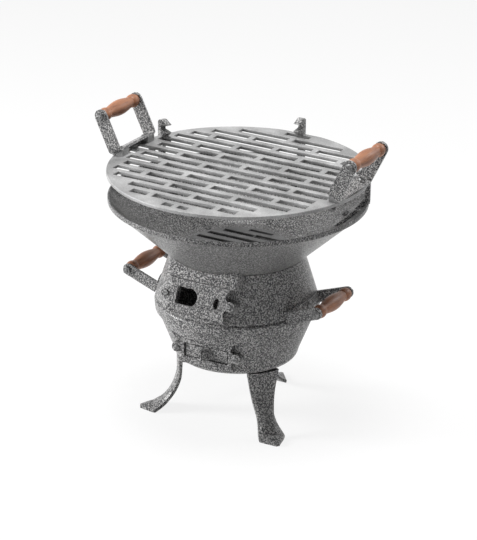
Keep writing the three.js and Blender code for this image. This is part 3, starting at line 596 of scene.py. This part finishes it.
# %% [markdown]
# ## The ash base
#
# A round box that catches the ash. It is cast in one with a raised seat for the lower
# frame plate. A profile spun round the axis gives the walls, and the seat is a block that
# is joined on, hollowed from inside, and cut back by a pocket for the plate.

# %% Turn the ash base and cut its draught window
BORE_STEPS = 24
EAR_STEPS = 48
BASE_SEAT_DEPTH = 32.0
BODY_SEAT_DEPTH = 34.0
POCKET_REACH = 30.0                     # how far a pocket's tool goes on in front of a plate
POCKET_MARGIN = 15.0                    # and how far past each end of the draught plate
BASE_POCKET_DROP = 0.5                  # how far it goes on below the plate's foot
FLOOR_CORNER = 8.0
SCREW_DEPTH = 20.0                      # how far a screw's hole goes on into the ash base
EVERYWHERE = rectangle(-200, 200, -200, 200)


def rod_piece(radius, low, high, x=0.0, y=0.0, steps=BORE_STEPS):
    """A round rod along Z, for boring holes and raising bosses."""
    rod = turned_piece("rod", [(0, low), (radius, low), (radius, high), (0, high)], steps)
    return placed(rod, Matrix.Translation((x * MM, y * MM, 0)))


def on_plate(piece, plate):
    return placed(piece, plate.axes)


def round_hole(piece, plate, depth):
    """Bores both screw holes of a frame plate into a casting."""
    for side in (-1, 1):
        hole = rod_piece(SCREW_RADIUS + CLEARANCE, -depth, 1, side * plate.ear[0], plate.ear[1])
        carve(piece, on_plate(hole, plate))


def seat_block(plate, seat, depth, low, high):
    """A block behind a frame plate, with the plate's own ears."""
    half = plate.width / 2
    block = slab_piece("seat", rectangle(-half, half, low, high), -depth, -seat)
    for side in (-1, 1):
        ear = rod_piece(EAR_RADIUS, -depth, -seat, side * plate.ear[0], plate.ear[1], EAR_STEPS)
        carve(block, ear, "UNION")
    return on_plate(block, plate)


def ash_base():
    inner_foot = FOOT_RADIUS - base_cone.level(WALL)
    floor = BASE_BOTTOM + WALL
    inner_top = base_cone.at(SKIRT_BOTTOM) - base_cone.level(WALL)
    foot = arc_points((FOOT_RADIUS - FOOT_CORNER, FOOT_TOP), FOOT_CORNER, -90, 0, 12)
    rest = eased([
        (BASE_RADIUS, SKIRT_BOTTOM), (SPIGOT_RADIUS, BASE_TOP), (SPIGOT_RADIUS - WALL, BASE_TOP),
        (inner_top, SKIRT_BOTTOM), (inner_foot, FOOT_TOP), (inner_foot - FLOOR_CORNER, floor)],
        keep=(0, 5))
    base = turned_piece("ash_base_casting", [(0, BASE_BOTTOM), *foot, *rest, (0, floor)])
    inside = [(0, floor), (inner_foot - FLOOR_CORNER, floor), (inner_foot, FOOT_TOP),
              (inner_top, SKIRT_BOTTOM), (0, SKIRT_BOTTOM)]

    plate = draught_plate
    seat = plate.thickness + CLEARANCE
    back = seat + WALL
    depth = BASE_SEAT_DEPTH
    half = plate.width / 2
    block = seat_block(plate, seat, depth, 0, plate.height + 1)
    carve(block, slab_piece("room", EVERYWHERE, BASE_BOTTOM, SKIRT_BOTTOM), "INTERSECT")
    carve(block, turned_piece("inside", inside))
    carve(base, block, "UNION")
    hollow = slab_piece("hollow", rectangle(-half + WALL, half - WALL, 0, plate.height - 3),
                        -depth - 8, -back)
    carve(base, on_plate(hollow, plate))
    wide = half + POCKET_MARGIN
    pocket = slab_piece("pocket", rectangle(-wide, wide, -BASE_POCKET_DROP, plate.height + CLEARANCE),
                        -seat, POCKET_REACH)
    carve(base, on_plate(pocket, plate))
    carve(base, on_plate(slab_piece("opening", plate.window(-1), -back - 1, 1), plate))
    round_hole(base, plate, back + SCREW_DEPTH)
    shade(base)
    return base


finish_piece(ash_base(), PAINT, "root", "hammertone", "ash_base")

# %% [markdown]
# ## The fire body
#
# The drum that holds the draught, with a skirt over the seam and a rounded shoulder. A
# flat panel leans against its front. It is one face with the upper frame plate, and only
# a fine joint shows between them. The bowl sits in the top, so the bowl's underside, grown
# by the clearance, is cut off the panel last.

# %% Turn the fire body and raise its panel
def bowl_room(gap):
    """Everything above the bowl's underside, less a gap."""
    drop = gap * math.hypot(1, 1 / bowl_cone.slope)
    top = RIM_Z + 40
    return turned_piece("bowl_room", [
        (0, NECK_Z - gap), (NECK_RADIUS - 1, NECK_Z - gap), (NECK_RADIUS, NECK_Z - drop),
        (bowl_cone.at(top), top - drop), (0, top - drop)])


FIRE_GRATE_RADIUS = reach_of("fire_grate")[0]
NECK_INNER = FIRE_GRATE_RADIUS + 1.5
SEAM_Z = BASE_TOP + CLEARANCE
SKIRT_INNER = BASE_RADIUS + CLEARANCE + 0.4
INNER_TOP = NECK_Z - WALL
PANEL_RISE = 35.0                       # how far the panel goes on above the plate
PANEL_BACK = 0.4                        # how far it stands back from the plate's face
PANEL_EASE = 1.6
BODY_POCKET_DROP = 0.4
BODY_SCREW_DEPTH = 18.0
NECK_ROOM = 30.0                        # how far the tool for the inside goes on above the neck


def fire_body():
    wall = body_cone.level(WALL)
    corner = (SHOULDER_RADIUS - SHOULDER_CORNER, SHOULDER_Z - 2)
    shoulder = arc_points(corner, SHOULDER_CORNER, 0, 70, 10)
    lower = eased([(SKIRT_INNER, SEAM_Z), (SKIRT_INNER, SKIRT_BOTTOM), (SKIRT_RADIUS, SKIRT_BOTTOM),
                   (SKIRT_RADIUS + 0.7, SKIRT_BOTTOM + 4)], keep=(0, 3))
    within = [(SPIGOT_RADIUS - WALL, SEAM_Z), (body_cone.at(SHOULDER_Z) - wall - 1, SHOULDER_Z),
              (body_cone.at(INNER_TOP) - wall, INNER_TOP), (NECK_INNER, INNER_TOP)]
    profile = [
        *lower, *shoulder, (body_cone.at(SHOULDER_Z + 6), SHOULDER_Z + 6), (NECK_RADIUS, NECK_Z),
        (NECK_INNER, NECK_Z), *reversed(within)]
    body = turned_piece("fire_body_casting", profile)
    inside = [(0, SEAM_Z), *within, (NECK_INNER, NECK_Z + NECK_ROOM), (0, NECK_Z + NECK_ROOM)]

    plate = fire_plate
    seat = plate.thickness + CLEARANCE
    depth = BODY_SEAT_DEPTH
    half = plate.width / 2
    panel_half = plate.ear[0] + EAR_RADIUS - 3
    block = seat_block(plate, seat, depth, -3, plate.height + 1)
    above = rectangle(-panel_half, panel_half, plate.height + CLEARANCE, plate.height + PANEL_RISE)
    upper = slab_piece("upper", above, -depth, -PANEL_BACK, ease=PANEL_EASE)
    carve(block, on_plate(upper, plate), "UNION")
    carve(block, turned_piece("inside", inside))
    carve(body, block, "UNION")
    hollow = slab_piece("hollow", rectangle(-half + WALL, half - WALL, 3, plate.height + 6),
                        -depth - 30, -seat - WALL)
    carve(body, on_plate(hollow, plate))
    room = rectangle(-panel_half, panel_half, -BODY_POCKET_DROP, plate.height + CLEARANCE)
    pocket = slab_piece("pocket", room, -seat, POCKET_REACH)
    carve(body, on_plate(pocket, plate))
    carve(body, on_plate(slab_piece("opening", plate.window(1), -seat - WALL - 2, 1), plate))
    round_hole(body, plate, seat + BODY_SCREW_DEPTH)
    carve(body, bowl_room(CLEARANCE))
    shade(body)
    return body


finish_piece(fire_body(), PAINT, "root", "hammertone", "fire_body")

# %% [markdown]
# ## The coal bowl
#
# A wide, thin cone with a small stepped rim. It drops into the body's neck by a short
# spigot, and the fire grate lies on a ledge at the bottom. Nothing is joined to it, so one
# spun profile is the whole casting.

# %% Turn the coal bowl
FLOOR_Z = NECK_Z + CLEARANCE
FLOOR_TOP = NECK_Z + BOWL_WALL + CLEARANCE
LEDGE_DEPTH = 2.5


def coal_bowl():
    wall = bowl_cone.level(BOWL_WALL)
    rim_inner = bowl_cone.at(RIM_Z - 2) - wall
    ledge = FIRE_GRATE_RADIUS + CLEARANCE
    profile = eased([
        (BOWL_THROAT, BOWL_LOW), (NECK_INNER - 0.5, BOWL_LOW), (NECK_INNER - 0.5, FLOOR_Z),
        (NECK_RADIUS, FLOOR_Z), (bowl_cone.at(RIM_Z - RIM_HEIGHT), RIM_Z - RIM_HEIGHT),
        (BOWL_RADIUS, RIM_Z - RIM_HEIGHT), (BOWL_RADIUS, RIM_Z), (rim_inner + 1.5, RIM_Z),
        (bowl_cone.at(RIM_Z - 4) - wall, RIM_Z - 4), (bowl_cone.at(FLOOR_TOP) - wall, FLOOR_TOP),
        (ledge, FLOOR_TOP), (ledge, FLOOR_TOP - LEDGE_DEPTH), (BOWL_THROAT, FLOOR_TOP - LEDGE_DEPTH)],
        radius=1.5)
    bowl = turned_piece("coal_bowl_casting", profile, 240)
    shade(bowl)
    return bowl


finish_piece(coal_bowl(), THIN_PAINT, "root", "hammertone", "coal_bowl")

# %% [markdown]
# ## The two grates
#
# Both are round plates with rows of slots. In the cooking grate each row is broken by webs
# that step half a pitch from row to row, like brickwork. A filled curve takes an outline
# with any number of holes, and its bevel rounds every rim of every slot in one go, which
# cutting the holes one by one would not.

# %% Rows of slots
SLOT_CORNER = 1.6


def slot_rows(radius, row_pitch, width, web_step, web, edge_length, reach_at):
    """Slots in rows across a disc, with the webs of odd rows set half a step along."""
    slots = []
    last_side = math.sqrt(radius ** 2 - edge_length ** 2 / 4)
    rows = math.floor(last_side / row_pitch + 0.5)
    for row in range(-rows, rows):
        middle = abs(row + 0.5) * row_pitch
        near = middle - width / 2
        far = min(middle + width / 2, last_side)
        if far - near < width / 2:
            continue
        side = math.copysign(1, row + 0.5)
        reach = min(math.sqrt(radius ** 2 - far ** 2), reach_at(middle))
        offset = 0 if row % 2 == 0 else web_step / 2
        first = math.ceil((-reach - offset) / web_step) - 1
        while first * web_step + offset < reach:
            x0 = max(first * web_step + offset + web / 2, -reach)
            x1 = min((first + 1) * web_step + offset - web / 2, reach)
            if x1 - x0 > width * 0.7:
                slots.append(rectangle(x0, x1, *sorted((side * near, side * far))))
            first += 1
    return slots


def add_loop(curve, points):
    """Adds a closed straight-sided loop to a curve."""
    loop = curve.splines.new("POLY")
    loop.points.add(len(points) - 1)
    for point, (x, y) in zip(loop.points, points):
        point.co = (x * MM, y * MM, 0, 1)
    loop.use_cyclic_u = True


def pierced_plate(name, outline, holes, low, high, ease):
    """A flat plate with rounded rims, which grow by the ease round the outline and holes."""
    curve = bpy.data.curves.new(name, "CURVE")
    curve.dimensions = "2D"
    curve.fill_mode = "BOTH"
    curve.bevel_depth = ease * MM
    curve.bevel_resolution = 2
    curve.extrude = ((high - low) / 2 - ease) * MM
    add_loop(curve, outline)
    for hole in holes:
        (x0, y0), (x1, y1) = hole[0], hole[2]
        add_loop(curve, eased(rectangle(x0 - ease, x1 + ease, y0 - ease, y1 + ease), SLOT_CORNER))
    drawn = bpy.data.objects.new(name, curve)
    bpy.context.scene.collection.objects.link(drawn)
    data = settled_mesh(drawn)
    bpy.data.objects.remove(drawn)
    plate = bpy.data.objects.new(name, data)
    bpy.context.scene.collection.objects.link(plate)
    return placed(plate, Matrix.Translation((0, 0, (low + high) / 2 * MM)))


# %% Cut the cooking grate
GRATE_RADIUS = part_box("cooking_grate")[1].x / MM
GRATE_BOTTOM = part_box("cooking_grate")[0].z / MM
GRATE_THICKNESS = 5.0
GRATE_TOP = GRATE_BOTTOM + GRATE_THICKNESS
GRATE_RIM = 8.6
GRATE_EASE = 0.9
GRATE_FLAT_RADIUS = GRATE_RADIUS - 2.6
POST_ANGLES = (22, 90, 158)
SLOT_PITCH = 23.0
SLOT_WIDTH = 14.5
WEB_STEP = 105.0
WEB_WIDTH = 8.5
EDGE_SLOT = 40.0
HANDLE_WIDTH = 20.0
HANDLE_LEAN = math.radians(26)
HANDLE_FOOT_Y = 34.0
LUG_OUTER = GRATE_RADIUS - 2
LUG_INNER = LUG_OUTER - HANDLE_WIDTH * math.cos(HANDLE_LEAN)
LUG_HALF = 8.5
LUG_EASE = 0.5
DISC_STEPS = 288


def foot_height(x):
    """How high a handle's leaning foot is above the grate."""
    return 1 + (LUG_OUTER - x) * math.tan(HANDLE_LEAN)


def disc_outline(radius, flats=(), flat_radius=0.0):
    """A circle, cut flat at the given angles."""
    points = []
    for i in range(DISC_STEPS):
        angle = 2 * math.pi * i / DISC_STEPS
        reach = radius
        for flat in flats:
            turn = math.cos(angle - math.radians(flat))
            if turn > 0:
                reach = min(reach, flat_radius / turn)
        points.append((reach * math.cos(angle), reach * math.sin(angle)))
    return points


def handle_lug(side, y):
    """The wedge that carries one end of a grate handle's leaning foot."""
    outline = [(LUG_INNER, GRATE_TOP - 1), (LUG_OUTER, GRATE_TOP - 1),
               (LUG_OUTER, GRATE_TOP + foot_height(LUG_OUTER) - CLEARANCE),
               (LUG_INNER, GRATE_TOP + foot_height(LUG_INNER) - CLEARANCE)]
    lug = slab_piece("lug", outline, -LUG_HALF, LUG_HALF, ease=LUG_EASE)
    stand = Matrix.Rotation(math.radians(90), 4, "X")
    turn = Matrix.Rotation(0 if side > 0 else math.pi, 4, "Z")
    return placed(lug, Matrix.Translation((0, y * MM, 0)) @ turn @ stand)


def grate_reach(y):
    """How far a row of slots goes out, which is less where the lugs stand."""
    beside_lug = abs(y - HANDLE_FOOT_Y) < LUG_HALF + SLOT_WIDTH / 2
    return LUG_INNER - WEB_WIDTH / 2 if beside_lug else GRATE_RADIUS


def join(piece, *others):
    """Adds the meshes of other pieces to a piece, and removes them."""
    shape = bmesh.new()
    shape.from_mesh(piece.data)
    for other in others:
        shape.from_mesh(other.data)
        bpy.data.objects.remove(other)
    shape.to_mesh(piece.data)
    shape.free()


def cooking_grate():
    slots = slot_rows(GRATE_RADIUS - GRATE_RIM, SLOT_PITCH, SLOT_WIDTH, WEB_STEP, WEB_WIDTH,
                      EDGE_SLOT, grate_reach)
    outline = disc_outline(GRATE_RADIUS - GRATE_EASE, POST_ANGLES, GRATE_FLAT_RADIUS - GRATE_EASE)
    grate = pierced_plate("cooking_grate_casting", outline, slots, GRATE_BOTTOM, GRATE_TOP, GRATE_EASE)
    join(grate, *[handle_lug(side, end * HANDLE_FOOT_Y) for side in (-1, 1) for end in (-1, 1)])
    shade(grate)
    return grate


finish_piece(cooking_grate(), IRON, "cooking_grate", "raw_iron", "cooking_grate")

# %% Cut the fire grate
FIRE_GRATE_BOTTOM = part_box("fire_grate")[0].z / MM
FIRE_GRATE_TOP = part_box("fire_grate")[1].z / MM
FIRE_GRATE_RIM = 4.0
FIRE_GRATE_EASE = 0.7
FIRE_SLOT_PITCH = 19.5
FIRE_SLOT_WIDTH = 9.0


def fire_grate():
    slots = slot_rows(FIRE_GRATE_RADIUS - FIRE_GRATE_RIM, FIRE_SLOT_PITCH, FIRE_SLOT_WIDTH,
                      4 * FIRE_GRATE_RADIUS, 0, 2 * FIRE_SLOT_PITCH, lambda y: FIRE_GRATE_RADIUS)
    grate = pierced_plate("fire_grate_casting", disc_outline(FIRE_GRATE_RADIUS - FIRE_GRATE_EASE),
                          slots, FIRE_GRATE_BOTTOM, FIRE_GRATE_TOP, FIRE_GRATE_EASE)
    shade(grate)
    return grate


# The fire grate wears the darker iron, which is painted shade for the bottom of the bowl.
finish_piece(fire_grate(), SHADED_IRON, "fire_grate", "raw_iron", "fire_grate")

# %% [markdown]
# ## The grips
#
# Each grip is turned on a lathe: a ball at both ends and a long belly between. It is
# turned upright, then laid along Y and put where the measured grip lies, so the same
# profile serves all four.

# %% Turn the four grips
GRIP_LENGTH = 88.0
GRIP_END = 6.6
GRIP_BALL = 9.7
BALL_LENGTH = 14.5
GRIP_NECK = 7.7
GRIP_BELLY = 11.15
GRIP_BORE = 3.4
GRIP_CHAMFER = 0.6
BELLY_STEPS = 30
BELLY_FULLNESS = 0.7
BALL_STEPS = 14
BALL_INSET = 0.8                        # between the ball's arc and either end of its length
BALL_START = -68                        # degrees round the ball, from its widest place
BALL_SWEEP = 126
BALL_FULLNESS = 0.8


def grip_profile():
    """A grip's closed profile of (radius, place along it), bored for its bolt."""
    half = GRIP_LENGTH / 2
    belly = []
    for i in range(BELLY_STEPS + 1):
        t = i / BELLY_STEPS
        swell = ((1 - math.cos(2 * math.pi * t)) / 2) ** BELLY_FULLNESS
        belly.append((GRIP_NECK + (GRIP_BELLY - GRIP_NECK) * swell, (half - BALL_LENGTH) * (2 * t - 1)))
    ball = []
    for i in range(BALL_STEPS + 1):
        t = i / BALL_STEPS
        swell = math.cos(math.radians(BALL_START + BALL_SWEEP * t)) ** BALL_FULLNESS
        ball.append((GRIP_END + (GRIP_BALL - GRIP_END) * swell,
                     -half + BALL_INSET + (BALL_LENGTH - 2 * BALL_INSET) * t))
    end = [(GRIP_BORE, -half), (GRIP_END - GRIP_CHAMFER, -half), *ball]
    other = [(r, -z) for r, z in reversed(end)]
    return end + belly + other


def grip(name, node, body):
    piece = turned_piece(name, grip_profile(), 48)
    low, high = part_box(node)
    placed(piece, Matrix.Translation((low + high) / 2) @ Matrix.Rotation(math.radians(90), 4, "X"))
    shade(piece)
    finish_piece(piece, WOOD, body, "grip_wood", node)


for side in ("left", "right"):
    grip(f"grate_grip_turned_{side}", f"grate_grip_{side}", "cooking_grate")
    grip(f"body_grip_turned_{side}", f"body_grip_{side}", "root")

# %% [markdown]
# ## What stays as measured
#
# Legs, strips, posts, plates and fasteners already have their true shape. They only need
# the soft edges of real metal and the right finish.

# %% Dress the pieces that stay
CAST_EDGE = 0.7
FASTENER_EDGE = 0.4


def is_fastener(name):
    return "bolt" in name or "screw" in name


for name, node in NODES.items():
    if node.hide_render:
        continue
    soften(node, FASTENER_EDGE if is_fastener(name) else CAST_EDGE)
    shade_slot = node.material_slots[0]
    shade_slot.link = "OBJECT"
    shade_slot.material = STEEL if is_fastener(name) else PAINT

# %% [markdown]
# ## Floor, sky and lamps
#
# The photograph has a white ground that fades into white. The floor is pale, and shines by
# itself only towards the camera and in reflections, so it turns white there and still
# takes the brazier's shadow and lights it from below as a plain floor does.

# %% A pale floor and a white surround
FLOOR_SIZE = 14.0
FLOOR_COLOUR = (0.8, 0.8, 0.8, 1.0)
FLOOR_GLOW = 0.82
GLOW_STRENGTH = 1.04
SKY_LIGHT = 0.06


def seen_directly(tree):
    """One for the camera, for reflections and for what shines through, and zero for light."""
    seen = tree.node("ShaderNodeLightPath", output="Is Camera Ray")
    for ray in ("Is Glossy Ray", "Is Transmission Ray"):
        seen = seen.maths("MAXIMUM", seen, tree.node("ShaderNodeLightPath", output=ray))
    return seen


def pale_floor():
    """A pale floor that glows only towards the eye, so that it keeps the shadow."""
    floor = Tree(bpy.data.materials.new("pale_floor"))
    floor.nodes.clear()
    plain = floor.node("ShaderNodeBsdfDiffuse", sockets={"Color": FLOOR_COLOUR})
    glow = floor.node("ShaderNodeEmission", sockets={"Strength": GLOW_STRENGTH})
    both = floor.node("ShaderNodeMixShader", sockets={
        "Fac": FLOOR_GLOW * seen_directly(floor), 1: plain, 2: glow})
    floor.node("ShaderNodeOutputMaterial", sockets={"Surface": both})
    return floor.owner


def white_studio():
    """A world that is white to the eye and softer as a light."""
    studio = Tree(bpy.data.worlds.new("studio"))
    sky = studio.nodes["Background"]
    sky.inputs["Color"].default_value = (1, 1, 1, 1)
    studio.feed(sky.inputs["Strength"], SKY_LIGHT + (1 - SKY_LIGHT) * seen_directly(studio))
    return studio.owner


shape = bmesh.new()
bmesh.ops.create_circle(shape, cap_ends=True, radius=FLOOR_SIZE / MM, segments=96)
floor = new_piece("floor", shape)
floor.data.materials.append(pale_floor())
bpy.context.scene.world = white_studio()
print("floor", FLOOR_SIZE, "m across from its middle")

# %% [markdown]
# Three soft lamps: a strong one low on the left, a wide one overhead, and a weak one behind
# on the right. Each call says how far round from the front a lamp stands and how high, in
# degrees, how far off and how wide it is, in metres, and how strong, in watts.

# %% Three soft lamps
LAMP_TARGET = Vector((0, 0, 0.22))


def lamp(name, azimuth, elevation, distance, size, power):
    """An area lamp that looks at the brazier's middle."""
    data = bpy.data.lights.new(name, "AREA")
    data.shape = "DISK"
    data.size = size
    data.energy = power
    lit = bpy.data.objects.new(name, data)
    turn = math.radians(azimuth)
    rise = math.radians(elevation)
    away = Vector((math.sin(turn) * math.cos(rise), -math.cos(turn) * math.cos(rise), math.sin(rise)))
    lit.location = LAMP_TARGET + away * distance
    lit.rotation_euler = away.to_track_quat("Z", "Y").to_euler()
    bpy.context.scene.collection.objects.link(lit)


lamp("key", azimuth=-62, elevation=18, distance=2.4, size=0.8, power=66)
lamp("overhead", azimuth=0, elevation=87, distance=2.3, size=1.1, power=58)
lamp("rim", azimuth=150, elevation=30, distance=2.4, size=0.8, power=12)
